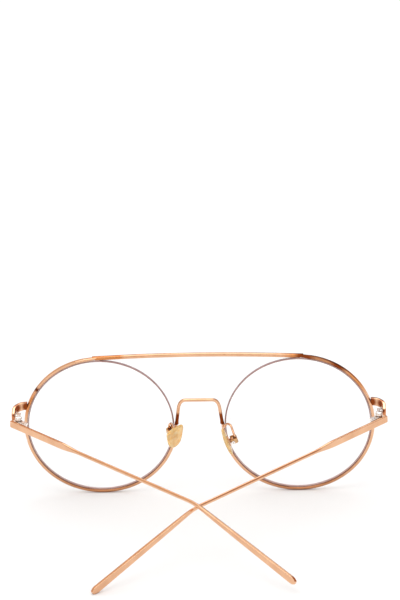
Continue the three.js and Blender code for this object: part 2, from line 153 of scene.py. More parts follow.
# Each pad: turned towards the wearer, spread at the foot and foot forward, and its arm's route onto the box
PADS = {
    "left": {
        "set": (50, 18, 12),
        "route": ((9.03, 27.55, 0.95), (9.25, 27.85, 1.8), (10.1, 29.2, 2.7), (10.5, 30.9, 3.3)),
        "over_box": (1.7, 0.1),
    },
    "right": {
        "set": (5.5, 18, 16),
        "route": (
            (9.03, 27.55, 0.95),
            (9.3, 28.2, 1.8),
            (10.4, 30.1, 2.8),
            (11.7, 30.3, 4.2),
            (12.5, 28.9, 5.6),
        ),
        "over_box": (1.2, 0.1),
    },
}

JOINTS = {joint["name"]: joint for joint in frame["joints"]}


# Places


def face_matrix():
    """The face frame, found from the two hinge axes."""
    left, right = (Vector(JOINTS[f"temple_{side}_fold"]["pos_m"]) for side, _ in SIDES)
    across = (right - left).normalized()
    up = Vector(JOINTS["temple_left_fold"]["axis"]).normalized()
    back = across.cross(up)
    axes = Matrix((across, up, back)).transposed().to_4x4()
    origin = (left + right) / 2 - (up * HINGE_Y + back * HINGE_Z) * MM
    return Matrix.Translation(origin) @ axes @ Matrix.Scale(MM, 4)


FACE = face_matrix()
TO_FACE = FACE.inverted()


def extent(node):
    """Lowest and highest corners of a CAD node in the face frame."""
    points = [TO_FACE @ vertex.co for vertex in frame["nodes"][node].data.vertices]
    low = Vector(min(point[i] for point in points) for i in range(3))
    high = Vector(max(point[i] for point in points) for i in range(3))
    return low, high


LENS_LOW, LENS_HIGH = extent("lens_right")
LENS_X = (LENS_LOW.x + LENS_HIGH.x) / 2
LENS_Y = (LENS_LOW.y + LENS_HIGH.y) / 2
LENS_RADIUS = (LENS_HIGH.x - LENS_LOW.x) / 2
RIM_LOW, RIM_HIGH = extent("rim_right")
RIM_OUTER = RIM_HIGH.x - LENS_X
RIM_DEPTH = RIM_HIGH.z - RIM_LOW.z
BAR_LOW, BAR_HIGH = extent("brow_bar")
BAR_END_X = BAR_HIGH.x
BAR_DEPTH = BAR_HIGH.z - BAR_LOW.z
BAR_HEIGHT = 1.5
BAR_Y = BAR_HIGH.y - BAR_HEIGHT / 2
HINGE_X = (TO_FACE @ Vector(JOINTS["temple_right_fold"]["pos_m"])).x

FOLD_RATIO = frame["record"]["behaviour"]["couplings"][0]["ratio"]
FOLD_RIGHT = -JOINTS["temple_right_fold"]["range_deg"][0]
FOLD_DEGREES = {"right": FOLD_RIGHT, "left": FOLD_RIGHT * FOLD_RATIO}


def turn(degrees, axis):
    return Matrix.Rotation(math.radians(degrees), 4, axis)


def hinge_matrix(side, sign, folded):
    """The hinge's own frame, which swings with the temple where folded is true."""
    place = Matrix.Translation((sign * HINGE_X, HINGE_Y, HINGE_Z))
    return FACE @ place @ turn(-sign * FOLD_DEGREES[side] * folded, "Y")


def pad_place(side, sign):
    """A pad's frame within the face frame: X along its screw, Y up the pad, Z towards the nose."""
    around, spread, pitch = PADS[side]["set"]
    at = TO_FACE @ Vector(JOINTS[f"pad_{side}_rock"]["pos_m"])
    rotation = turn(-sign * (90 - around), "Y") @ turn(spread, "X") @ turn(-sign * pitch, "Z")
    return Matrix.Translation(at) @ rotation


# Shapes: points, faces and each face's material slot


class Shape:
    def __init__(self):
        self.points = []
        self.faces = []
        self.slots = []

    def skin(self, rings, closed=False, slots=None):
        """Adds quads over rings of points, with flat ends where the run doesn't close on itself."""
        first = len(self.points)
        count = len(rings[0])
        for ring in rings:
            self.points.extend(Vector(point) for point in ring)
        spans = len(rings) if closed else len(rings) - 1
        for i in range(spans):
            here = first + i * count
            there = first + (i + 1) % len(rings) * count
            for j in range(count):
                k = (j + 1) % count
                self.faces.append((here + j, here + k, there + k, there + j))
                self.slots.append(slots[j] if slots else 0)
        if not closed:
            self.faces.append(tuple(range(first + count - 1, first - 1, -1)))
            last = first + (len(rings) - 1) * count
            self.faces.append(tuple(range(last, last + count)))
            self.slots.extend((0, 0))
        return self

    def lathe(self, profile, steps, slots=None):
        """Adds a body turned round Y. The profile is a list of (radius, height) that closes on itself."""
        rings = []
        for i in range(steps):
            angle = 2 * math.pi * i / steps
            rings.append([(r * math.cos(angle), y, r * math.sin(angle)) for r, y in profile])
        return self.skin(rings, closed=True, slots=slots)

    def moved(self, matrix):
        self.points = [matrix @ point for point in self.points]
        return self

    def add(self, other):
        first = len(self.points)
        self.points.extend(other.points)
        self.faces.extend(tuple(first + i for i in face) for face in other.faces)
        self.slots.extend(other.slots)
        return self


def rounded_box(half_width, half_height, corner, steps=3):
    """A rectangle with round corners, as (across, up) points."""
    points = []
    for quarter in range(4):
        middle = math.radians(90 * quarter + 45)
        x = math.copysign(half_width - corner, math.cos(middle))
        y = math.copysign(half_height - corner, math.sin(middle))
        for step in range(steps + 1):
            angle = math.radians(90 * (quarter + step / steps))
            points.append((x + corner * math.cos(angle), y + corner * math.sin(angle)))
    return points


def circle(radius, count):
    return [
        (radius * math.cos(2 * math.pi * i / count), radius * math.sin(2 * math.pi * i / count))
        for i in range(count)
    ]


def softened(stations, soften, steps=3):
    """Adds rings at both ends of a run of stations, so that its ends are rounded off by the length soften.

    A station is (middle, across, up, section)."""
    def end_rings(station, beyond):
        middle, across, up, section = station
        travel = (middle - beyond).normalized()
        reach = max(math.hypot(*point) for point in section)
        rings = []
        for step in range(1, steps + 1):
            angle = math.radians(90 * step / steps)
            inset = 1 - soften * (1 - math.cos(angle)) / reach
            moved = middle + travel * soften * (math.sin(angle) - 1)
            rings.append((moved, across, up, [(x * inset, y * inset) for x, y in section]))
        return rings

    def pulled(station, inner):
        middle, across, up, section = station
        return middle + (inner - middle).normalized() * soften, across, up, section

    start = list(reversed(end_rings(stations[0], stations[1][0])))
    end = end_rings(stations[-1], stations[-2][0])
    inside = [pulled(stations[0], stations[1][0]), *stations[1:-1], pulled(stations[-1], stations[-2][0])]
    return [*start, *inside, *end]


def bar_of(stations, soften=0.0):
    """A closed bar through stations."""
    if soften:
        stations = softened(stations, soften)
    return Shape().skin([[m + a * x + u * y for x, y in section] for m, a, u, section in stations])


def wire(points, radius_at, sides=16, soften=0.1):
    """A round wire through points, carried along without twist. radius_at takes the share of the length."""
    points = [Vector(point) for point in points]
    lengths = [0.0]
    for a, b in zip(points, points[1:]):
        lengths.append(lengths[-1] + (b - a).length)
    travel = [(b - a).normalized() for a, b in zip(points, points[1:])]
    travel = [travel[0], *[(a + b).normalized() for a, b in zip(travel, travel[1:])], travel[-1]]
    across = travel[0].orthogonal().normalized()
    stations = []
    for point, along, length in zip(points, travel, lengths):
        across = (across - along * across.dot(along)).normalized()
        radius = radius_at(length / lengths[-1])
        stations.append((point, across, along.cross(across), circle(radius, sides)))
    return bar_of(stations, soften)


def catmull_rom(points, steps):
    """A centripetal Catmull-Rom curve through points, with steps spans between neighbours."""
    points = [Vector(point) for point in points]
    ends = [points[0] * 2 - points[1], *points, points[-1] * 2 - points[-2]]
    made = []
    for p0, p1, p2, p3 in zip(ends, ends[1:], ends[2:], ends[3:]):
        t0, t1 = 0.0, (p1 - p0).length ** 0.5
        t2 = t1 + (p2 - p1).length ** 0.5
        t3 = t2 + (p3 - p2).length ** 0.5
        for i in range(steps):
            t = t1 + (t2 - t1) * i / steps
            a1 = p0 * ((t1 - t) / (t1 - t0)) + p1 * ((t - t0) / (t1 - t0))
            a2 = p1 * ((t2 - t) / (t2 - t1)) + p2 * ((t - t1) / (t2 - t1))
            a3 = p2 * ((t3 - t) / (t3 - t2)) + p3 * ((t - t2) / (t3 - t2))
            b1 = a1 * ((t2 - t) / (t2 - t0)) + a2 * ((t - t0) / (t2 - t0))
            b2 = a2 * ((t3 - t) / (t3 - t1)) + a3 * ((t - t1) / (t3 - t1))
            made.append(b1 * ((t2 - t) / (t2 - t1)) + b2 * ((t - t1) / (t2 - t1)))
    return [*made, points[-1]]


def plate(outlines, thickness, bevel):
    """A slab with bevelled edges, drawn in X and Y. The first outline is its edge, the others are holes."""
    curve = bpy.data.curves.new("outline", "CURVE")
    curve.dimensions = "2D"
    curve.fill_mode = "BOTH"
    curve.extrude = thickness / 2 - bevel
    curve.bevel_depth = bevel
    curve.bevel_resolution = 2
    curve.offset = -bevel
    for outline in outlines:
        spline = curve.splines.new("POLY")
        spline.points.add(len(outline) - 1)
        for point, (x, y) in zip(spline.points, outline):
            point.co = (x, y, 0, 1)
        spline.use_cyclic_u = True
    holder = bpy.data.objects.new("outline", curve)
    mesh = bpy.data.meshes.new_from_object(holder)
    sheet = bmesh.new()
    sheet.from_mesh(mesh)
    bmesh.ops.remove_doubles(sheet, verts=sheet.verts, dist=1e-4)
    sheet.verts.index_update()
    shape = Shape()
    shape.points = [vertex.co.copy() for vertex in sheet.verts]
    shape.faces = [tuple(vertex.index for vertex in face.verts) for face in sheet.faces]
    shape.slots = [0] * len(shape.faces)
    sheet.free()
    bpy.data.objects.remove(holder)
    bpy.data.meshes.remove(mesh)
    bpy.data.curves.remove(curve)
    return shape


LAID_FLAT = turn(90, "X")  # takes an outline's X and Y to X and Z, and its thickness to Y


def arc(x, y, radius, start, end, steps):
    """Points round a circle, with the angles in degrees."""
    points = []
    for i in range(steps + 1):
        angle = math.radians(start + (end - start) * i / steps)
        points.append((x + radius * math.cos(angle), y + radius * math.sin(angle)))
    return points


def smoothstep(value, low, high):
    share = min(max((value - low) / (high - low), 0), 1)
    return share * share * (3 - 2 * share)


def mix(a, b, share):
    return a + (b - a) * share


# Making a piece of a shape


def make_piece(name, shape, matrix, materials, body, nodes, mirror=False, crease=38):
    """A named object of the shape, smooth but for its creases, that rides on a CAD body."""
    place = matrix @ Matrix.Scale(-1, 4, (1, 0, 0)) if mirror else matrix
    mesh = bpy.data.meshes.new(name)
    mesh.from_pydata([place @ point for point in shape.points], [], shape.faces)
    for face, index in zip(mesh.polygons, shape.slots):
        face.material_index = index
        face.use_smooth = True
    for material in materials:
        mesh.materials.append(material)
    edit = bmesh.new()
    edit.from_mesh(mesh)
    bmesh.ops.recalc_face_normals(edit, faces=edit.faces)
    edit.to_mesh(mesh)
    edit.free()
    mesh.set_sharp_from_angle(angle=math.radians(crease))
    piece = bpy.data.objects.new(name, mesh)
    bpy.context.scene.collection.objects.link(piece)
    weighted = piece.modifiers.new("flat faces stay flat", "WEIGHTED_NORMAL")
    weighted.keep_sharp = True
    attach(piece, body)
    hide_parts(*nodes)
    return piece


# Materials


def add_node(tree, kind, **values):
    """A shader node. Values whose names match an input are set or linked, and the rest are properties."""
    node = tree.nodes.new(f"ShaderNode{kind}")
    for name, value in values.items():
        socket = next((s for s in node.inputs if s.name.replace(" ", "_").lower() == name.lower()), None)
        if socket is None:
            setattr(node, name, value)
        elif isinstance(value, bpy.types.NodeSocket):
            tree.links.new(value, socket)
        else:
            socket.default_value = value
    return node


def new_material(name):
    material = bpy.data.materials.new(name)
    material.use_nodes = True
    return material, material.node_tree, material.node_tree.nodes["Principled BSDF"]


def tone_between(tree, factor, dark, light):
    """A colour between two, by a factor socket."""
    ramp = tree.nodes.new("ShaderNodeValToRGB")
    ramp.color_ramp.elements[0].color = (*dark, 1)
    ramp.color_ramp.elements[1].color = (*light, 1)
    ramp.color_ramp.elements[0].position = 0.3
    ramp.color_ramp.elements[1].position = 0.7
    tree.links.new(factor, ramp.inputs["Fac"])
    return ramp.outputs["Color"]


def spread_of(tree, factor, low, high):
    """A number between two, by a factor socket."""
    return add_node(tree, "MapRange", Value=factor, To_Min=low, To_Max=high).outputs["Result"]


def noise_of(tree, size, detail=3.0, stretch=(1, 1, 1)):
    """Noise whose features are about size millimetres across, drawn out along an axis by stretch."""
    place = add_node(tree, "TexCoord").outputs["Object"]
    scaled = add_node(tree, "Mapping", Vector=place, Scale=stretch).outputs["Vector"]
    return add_node(tree, "TexNoise", Vector=scaled, Scale=1 / (size * MM), Detail=detail).outputs["Fac"]


def math_of(tree, operation, *values):
    """The result of a Math node on sockets or numbers."""
    node = add_node(tree, "Math", operation=operation)
    for socket, value in zip(node.inputs, values):
        if isinstance(value, bpy.types.NodeSocket):
            tree.links.new(value, socket)
        else:
            socket.default_value = value
    return node.outputs[0]


def between(tree, value, low, high, soft):
    """1 where a value socket lies between low and high, falling to 0 over the width soft at each end."""
    rise = add_node(tree, "MapRange", Value=value, From_Min=low - soft, From_Max=low + soft)
    fall = add_node(tree, "MapRange", Value=value, From_Min=high + soft, From_Max=high - soft)
    return math_of(tree, "MULTIPLY", rise.outputs["Result"], fall.outputs["Result"])


def object_place(tree):
    """A place on the object, in metres."""
    return add_node(tree, "TexCoord").outputs["Object"]


def from_middle(tree):
    """How far to the wearer's right of the middle, in millimetres."""
    across = add_node(tree, "SeparateXYZ", Vector=object_place(tree)).outputs["X"]
    return math_of(tree, "DIVIDE", across, MM)


def above_floor(tree):
    """The height above the floor, in millimetres."""
    height = add_node(tree, "SeparateXYZ", Vector=object_place(tree)).outputs["Z"]
    return math_of(tree, "DIVIDE", height, MM)


def round_lens(sign):
    """A measure of the angle round a lens, in degrees up from its outer side."""
    centre = FACE @ Vector((LENS_X, LENS_Y, 0))

    def angle(tree):
        axes = add_node(tree, "SeparateXYZ", Vector=object_place(tree)).outputs
        outward = math_of(tree, "MULTIPLY_ADD", axes["X"], sign, -centre.x)
        upward = math_of(tree, "SUBTRACT", axes["Z"], centre.z)
        return math_of(tree, "DEGREES", math_of(tree, "ARCTAN2", upward, outward))

    return angle


def distance_from(x, y, z):
    """A measure of the distance from a point of the face frame, in millimetres."""
    point = FACE @ Vector((x, y, z))

    def distance(tree):
        gap = add_node(tree, "VectorMath", operation="DISTANCE")
        tree.links.new(object_place(tree), gap.inputs[0])
        gap.inputs[1].default_value = point
        return math_of(tree, "DIVIDE", gap.outputs["Value"], MM)

    return distance


def metal(name, dark, light, rubbed, roughness, grain, marks=()):
    """Polished metal: cloudy tone, edges rubbed lighter, uneven polish and fine tumbling marks.

    It is darker in the corners between pieces, a painted shade from ambient occlusion. Each mark is a
    painted reflection, a stretch toned as if the metal mirrored dark things: a measure, the low and high
    values between which it lies, how soft its ends are, and its tone."""
    material, tree, shader = new_material(name)
    tone = tone_between(tree, noise_of(tree, 6.0), dark, light)
    edge = add_node(tree, "NewGeometry").outputs["Pointiness"]
    rub = add_node(tree, "MapRange", Value=edge, From_Min=0.53, From_Max=0.62, To_Max=0.6).outputs["Result"]
    tone = add_node(tree, "MixRGB", Fac=rub, Color1=tone, Color2=(*rubbed, 1)).outputs["Color"]
    # Each mark paints a reflection of dark things into the colour.
    for measure, low, high, soft, colour in marks:
        share = between(tree, measure(tree), low, high, soft)
        tone = add_node(tree, "MixRGB", Fac=share, Color1=tone, Color2=(*colour, 1)).outputs["Color"]
    # Painted shade: ambient occlusion darkens the colour towards deep brown in corners and between parts.
    openness = add_node(tree, "AmbientOcclusion", samples=8, Distance=PAINTED_SHADE_REACH * MM).outputs["AO"]
    corner = add_node(tree, "MapRange", Value=openness, From_Min=0.75, From_Max=0.25, To_Max=0.85)
    closed = corner.outputs["Result"]
    tone = add_node(tree, "MixRGB", Fac=closed, Color1=tone, Color2=(*PAINTED_CORNER_SHADE, 1)).outputs["Color"]
    tree.links.new(tone, shader.inputs["Base Color"])
    shader.inputs["Metallic"].default_value = 1.0
    polish = spread_of(tree, noise_of(tree, 2.5, 5.0), *roughness)
    tree.links.new(polish, shader.inputs["Roughness"])
    scratches = noise_of(tree, 0.22, 4.0)
    bump = add_node(tree, "Bump", Height=scratches, Strength=grain, Distance=0.02 * MM).outputs["Normal"]
    tree.links.new(bump, shader.inputs["Normal"])
    return material


def nylon():
    """Satin cord with a faint grain along it."""
    material, tree, shader = new_material("nylon_cord")
    tone = tone_between(tree, noise_of(tree, 1.5), (0.30, 0.22, 0.24), (0.42, 0.33, 0.35))
    tree.links.new(tone, shader.inputs["Base Color"])
    tree.links.new(spread_of(tree, noise_of(tree, 0.6), 0.3, 0.5), shader.inputs["Roughness"])
    bump = add_node(tree, "Bump", Height=noise_of(tree, 0.15), Strength=0.2, Distance=0.02 * MM)
    tree.links.new(bump.outputs["Normal"], shader.inputs["Normal"])
    return material


def lens_clear():
    """Clear lens: smooth glass that lets lamps through, with faint wiping marks in its polish."""
    material, tree, shader = new_material("lens_clear")
    shader.inputs["Base Color"].default_value = (1, 1, 1, 1)
    shader.inputs["Transmission Weight"].default_value = 1.0
    shader.inputs["IOR"].default_value = 1.5
    marks = noise_of(tree, 9.0, 6.0, (1, 3, 1))
    tree.links.new(spread_of(tree, marks, 0.0, 0.03), shader.inputs["Roughness"])
    through = add_node(tree, "BsdfTransparent", Color=(1, 1, 1, 1)).outputs["BSDF"]
    shadow = add_node(tree, "LightPath").outputs["Is Shadow Ray"]
    both = add_node(tree, "MixShader", Fac=shadow)
    tree.links.new(shader.outputs["BSDF"], both.inputs[1])
    tree.links.new(through, both.inputs[2])
    tree.links.new(both.outputs["Shader"], tree.nodes["Material Output"].inputs["Surface"])
    return material


def lens_edge():
    """The lens's fine ground edge, half see-through, tinted mauve brown as a painted shade of the rim's groove
    seen through it.
    """
    material, tree, shader = new_material("lens_edge")
    # Painted shade: the mauve brown stands in for the shadowed groove of the rim seen through the edge.
    tone = tone_between(tree, noise_of(tree, 3.0), (0.50, 0.26, 0.22), (0.60, 0.35, 0.31))
    tree.links.new(tone, shader.inputs["Base Color"])
    tree.links.new(spread_of(tree, noise_of(tree, 0.5), 0.25, 0.45), shader.inputs["Roughness"])
    shader.inputs["Alpha"].default_value = 0.65
    return material


def silicone():
    """Honey coloured translucent silicone, a little cloudy, with a soft skin."""
    material, tree, shader = new_material("pad_silicone")
    tone = tone_between(tree, noise_of(tree, 1.2, 4.0), (0.95, 0.58, 0.18), (1.0, 0.87, 0.52))
    tree.links.new(tone, shader.inputs["Base Color"])
    tree.links.new(spread_of(tree, noise_of(tree, 0.8), 0.15, 0.3), shader.inputs["Roughness"])
    shader.inputs["Transmission Weight"].default_value = 0.55
    shader.inputs["IOR"].default_value = 1.41
    bump = add_node(tree, "Bump", Height=noise_of(tree, 0.3), Strength=0.15, Distance=0.03 * MM)
    tree.links.new(bump.outputs["Normal"], shader.inputs["Normal"])
    through = add_node(tree, "BsdfTransparent", Color=(1, 0.9, 0.7, 1)).outputs["BSDF"]
    shadow = add_node(tree, "LightPath").outputs["Is Shadow Ray"]
    both = add_node(tree, "MixShader", Fac=shadow)
    tree.links.new(shader.outputs["BSDF"], both.inputs[1])
    tree.links.new(through, both.inputs[2])
    tree.links.new(both.outputs["Shader"], tree.nodes["Material Output"].inputs["Surface"])
    return material


PLATING = ((0.73, 0.41, 0.24), (0.83, 0.50, 0.31), (0.93, 0.70, 0.55), (0.07, 0.15), 0.25)
STEEL = ((0.86, 0.80, 0.75), (0.97, 0.93, 0.90), (1.0, 0.98, 0.96), (0.12, 0.24), 0.4)
# Painted shade: a darker copy of the plating, so that the pad boxes look shaded.
PLATING_WITH_PAINTED_SHADE = ((0.30, 0.12, 0.04), (0.60, 0.34, 0.14), (0.90, 0.62, 0.36), (0.07, 0.15), 0.25)
# Painted reflections: orange to near black tones laid into the metal's colour where it would mirror dark things.
PAINTED_REFLECTION_ORANGE = (0.66, 0.27, 0.10)
PAINTED_REFLECTION_BROWN = (0.50, 0.23, 0.11)
PAINTED_REFLECTION_DEEP = (0.24, 0.05, 0.010)
PAINTED_REFLECTION_DARKEST = (0.12, 0.02, 0.004)
# Painted shade: the deep brown that corners and gaps between parts are darkened towards, and how far the occlusion
# reaches.
PAINTED_CORNER_SHADE = (0.28, 0.09, 0.035)
PAINTED_SHADE_REACH = 1.3
# Painted reflections on each rim, stretches toned as if the rim mirrored dark things, in degrees round its lens:
# from, to, how soft, and the tone
RIM_PAINTED_REFLECTIONS = {
    "left": ((10, 30, 5, PAINTED_REFLECTION_ORANGE), (32, 35, 1, PAINTED_REFLECTION_DARKEST), (-125, -45, 20, PAINTED_REFLECTION_BROWN)),
    "right": (
        (30, 50, 5, PAINTED_REFLECTION_ORANGE),
        (50, 94, 4, PAINTED_REFLECTION_BROWN),
        (52, 63, 3, PAINTED_REFLECTION_DEEP),
        (78, 94, 3, PAINTED_REFLECTION_DEEP),
        (-125, -45, 20, PAINTED_REFLECTION_BROWN),
    ),
}
# Painted reflection: the bridge is toned deep brown below this height, as if it mirrored dark things.
BRIDGE_PAINTED_REFLECTION_TOP = 33.2
# Painted reflections on the brow bar: orange and deep brown stretches by distance from the middle, as if it
# mirrored dark things.
BAR_PAINTED_REFLECTIONS = ((-60, -28, 1, PAINTED_REFLECTION_ORANGE), (33, 60, 2, PAINTED_REFLECTION_ORANGE), (36.5, 60, 1, PAINTED_REFLECTION_DEEP))


def rim_gold(side, sign):
    # Painted reflections: each side's rim gets its own stretches of dark and orange tone.
    marks = [(round_lens(sign), *mark) for mark in RIM_PAINTED_REFLECTIONS[side]]
    return metal(f"rim_gold_{side}", *PLATING, marks)


def end_piece_gold(side, sign):
    # Painted reflections: deep brown patches where the strip leaves the rim and at its bend, as if it mirrored
    # dark things.
    near_rim = distance_from(sign * 64.4, END_PIECE_Y, 0)
    at_bend = distance_from(sign * 68.4, END_PIECE_Y, 1.6)
    marks = ((near_rim, -1, 1.9, 0.5, PAINTED_REFLECTION_DEEP), (at_bend, -1, 1.7, 0.5, PAINTED_REFLECTION_DEEP))
    return metal(f"end_piece_gold_{side}", *PLATING, marks)


ROSE_GOLD = metal("rose_gold", *PLATING)
# The brow bar's colour carries painted reflections.
BAR_GOLD = metal("bar_gold", *PLATING, [(from_middle, *mark) for mark in BAR_PAINTED_REFLECTIONS])
# The bridge's colour carries a painted reflection on its lower part.
BRIDGE_GOLD = metal("bridge_gold", *PLATING, [(above_floor, 0, BRIDGE_PAINTED_REFLECTION_TOP, 0.6, PAINTED_REFLECTION_DEEP)])
# The pad boxes carry painted shade: the darker copy of the plating.
BOX_GOLD_PAINTED_SHADE = metal("pad_box_gold", *PLATING_WITH_PAINTED_SHADE)
RIM_GOLD = {side: rim_gold(side, sign) for side, sign in SIDES}
END_PIECE_GOLD = {side: end_piece_gold(side, sign) for side, sign in SIDES}
BRIGHT_STEEL = metal("bright_steel", *STEEL)
NYLON = nylon()
LENS_CLEAR = lens_clear()
LENS_EDGE_WITH_PAINTED_SHADE = lens_edge()
SILICONE = silicone()


# Front


def bar_height(x):
    return BAR_Y - BAR_RISE * (x / BAR_CORNER_X) ** 2


def lens_shape():
    """A meniscus lens with a grooved edge, turned round Y and then faced forward."""
    def sag(radius):
        return LENS_SURFACE_RADIUS - math.sqrt(LENS_SURFACE_RADIUS**2 - radius**2)

    def height(radius, half):
        return sag(LENS_RADIUS) - sag(radius) + half

    half = LENS_THICKNESS / 2
    groove = LENS_GROOVE_WIDTH / 2
    inner = LENS_RADIUS - LENS_GROOVE_DEPTH
    band = LENS_RADIUS - LENS_EDGE_BAND
    radii = [band * (i / 9) for i in range(10)]
    radii[0] = 0.02
    back = [(r, height(r, -half)) for r in radii]
    front = [(r, height(r, half)) for r in reversed(radii)]
    edge = [
        (LENS_RADIUS - LENS_BEVEL, height(LENS_RADIUS, -half)),
        (LENS_RADIUS, height(LENS_RADIUS, -half + LENS_BEVEL)),
        (LENS_RADIUS, -groove), (inner, -groove), (inner, groove), (LENS_RADIUS, groove),
        (LENS_RADIUS, height(LENS_RADIUS, half - LENS_BEVEL)),
        (LENS_RADIUS - LENS_BEVEL, height(LENS_RADIUS, half)),
    ]
    profile = [*back, *edge, *front]
    clear_faces = len(back) - 1
    slots = [0] * clear_faces + [1] * (len(edge) + 1) + [0] * (clear_faces + 1)
    lens = Shape().lathe(profile, 144, slots).moved(turn(-90, "X"))
    return lens.moved(Matrix.Translation((LENS_X, LENS_Y, 0)))


def rim_shape():
    """A circle from the nasal end, under the lens, to the corner, then the bar's line to a scarfed end."""
    radius = RIM_OUTER - RIM_WALL / 2
    corner = math.acos((BAR_CORNER_X - LENS_X) / radius)
    line_length = BAR_CORNER_X - BAR_END_X
    corner_y = LENS_Y + radius * math.sin(corner)
    half = RIM_WALL / 2
    section = rounded_box(half, RIM_DEPTH / 2, RIM_CORNER)
    steps, line_steps = 180, 8
    ahead = Vector((0, 0, 1))
    stations = []
    for i in range(steps + 1):
        angle = corner * i / steps - math.pi * (1 - i / steps)
        outward = Vector((math.cos(angle), math.sin(angle), 0))
        stations.append((Vector((LENS_X, LENS_Y, 0)) + outward * radius, outward, ahead, section))
    for i in range(1, line_steps + 1):
        share = i / line_steps
        x = BAR_CORNER_X - line_length * share
        y = mix(corner_y, bar_height(x), share)
        outward = Vector((mix(math.cos(corner), 0.04, min(2 * share, 1)), 1, 0)).normalized()
        stations.append((Vector((x, y, 0)), outward, ahead, section))
    shape = bar_of(stations, 0.08)
    # The far end is scarfed: its outer side reaches further over the bar than its inner side.
    for i, point in enumerate(shape.points):
        if point.x < BAR_CORNER_X and point.y > LENS_Y + LENS_RADIUS * 0.9:
            near = smoothstep(point.x, BAR_CORNER_X, BAR_END_X)
            lean = (point.y - bar_height(point.x)) / half
            shape.points[i] = point + Vector((-lean * SCARF / 2 * near + SCARF / 2 * near * 0.2, 0, 0))
    return shape


def brow_bar_shape():
    """A shallow arch of rounded square wire, whose ends are scarfed to meet the rims."""
    section = rounded_box(BAR_HEIGHT / 2, BAR_DEPTH / 2, BAR_CORNER)
    steps = 64
    stations = []
    for i in range(steps + 1):
        x = mix(BAR_END_X, -BAR_END_X, i / steps)
        slope = -2 * BAR_RISE * x / BAR_CORNER_X**2
        up = Vector((-slope, 1, 0)).normalized()
        stations.append((Vector((x, bar_height(x), 0)), up, Vector((0, 0, 1)), section))
    shape = bar_of(stations, 0.06)
    reach = BAR_END_X - 4
    for i, point in enumerate(shape.points):
        near = smoothstep(abs(point.x), reach, BAR_END_X)
        lean = (point.y - bar_height(point.x)) / (BAR_HEIGHT / 2)
        pull = -SCARF / 2 * near * (lean + 1)
        shape.points[i] = point + Vector((math.copysign(pull, point.x), 0, 0))
    return shape


def bridge_shape():
    """An upturned U of round wire, with solder flared round its feet."""
    def quadratic(a, b, c, steps):
        shares = [i / steps for i in range(steps + 1)]
        return [a * (1 - t) ** 2 + b * 2 * t * (1 - t) + c * t**2 for t in shares]

    foot, shoulder, bend = (Vector((*point, 0)) for point in (BRIDGE_FOOT, BRIDGE_SHOULDER, BRIDGE_CORNER))
    top = Vector((BRIDGE_TOP_HALF_WIDTH, BRIDGE_CORNER[1], 0))
    leg = [foot.lerp(shoulder, i / 10) for i in range(10)]
    right = [*leg, *quadratic(shoulder, bend, top, 12)]
    left = [Vector((-p.x, p.y, 0)) for p in reversed(right)]
    top_run = [top.lerp(left[0], i / 8) for i in range(1, 8)]

    def radius_at(share):
        near_foot = min(share, 1 - share)
        return BRIDGE_RADIUS * (1 + 0.22 * (1 - smoothstep(near_foot, 0, 0.05)))

    return wire([*right, *top_run, *left], radius_at, sides=20, soften=0.2)


def lens_cord_shape():
    start, end = (math.radians(angle) for angle in CORD_SPAN)
    steps = 72
    points = []
    for i in range(steps + 1):
        angle = mix(start, end, i / steps)
        points.append((
            LENS_X + CORD_CIRCLE_RADIUS * math.cos(angle),
            LENS_Y + CORD_CIRCLE_RADIUS * math.sin(angle),
            0,
        ))
    return wire(points, lambda share: CORD_RADIUS, sides=10, soften=0.05)


def end_piece_shape():
    """A strip that leaves the rim, turns the corner and runs back to the hinge, falling as it goes."""
    half = END_PIECE_THICKNESS / 2
    line_x = HINGE_X + BLADE_OFFSET
    corner_x = line_x - END_PIECE_CORNER_RADIUS
    rear = HINGE_Z - BLADE_AHEAD - BUTT_GAP
    touching = LENS_X + math.sqrt((RIM_OUTER + 0.02) ** 2 - (END_PIECE_Y - LENS_Y) ** 2)
    section = rounded_box(half, END_PIECE_HEIGHT / 2, 0.2)
    up = Vector((0, 1, 0))
    stations = []

    def station(x, z, outward):
        middle = Vector((x, END_PIECE_Y - END_PIECE_FALL * z, z))
        stations.append((middle, Vector((math.cos(outward), 0, math.sin(outward))), up, section))

    for i in range(6):
        station(mix(touching - 0.2, corner_x, i / 6), 0, -math.pi / 2)
    for x, z in arc(corner_x, END_PIECE_CORNER_RADIUS, END_PIECE_CORNER_RADIUS, -90, 0, 16):
        station(x, z, math.atan2(z - END_PIECE_CORNER_RADIUS, x - corner_x))
    for i in range(1, 7):
        station(line_x, mix(END_PIECE_CORNER_RADIUS, rear, i / 6), 0)
    return bar_of(stations, 0.12)


# Hinges


def leaf_arm(direction, low, high):
    """One barrel of a hinge with the arm that joins it to its plate."""
    right = KNUCKLE_RADIUS - 0.02
    left = right - HINGE_ARM_WIDTH
    reach = HINGE_PLATE_SPAN[1] - 1
    meet = math.degrees(math.acos(left / KNUCKLE_RADIUS))
    barrel = arc(0, 0, KNUCKLE_RADIUS, meet, 350, 28)
    outline = [(right, reach), (left, reach), *barrel]
    outline = [(x, direction * z) for x, z in outline]
    if direction < 0:
        outline.reverse()
    bore = circle(HINGE_BORE_RADIUS, 24)
    shape = plate([outline, bore], high - low, 0.12).moved(LAID_FLAT)
    return shape.moved(Matrix.Translation((0, (low + high) / 2, 0)))


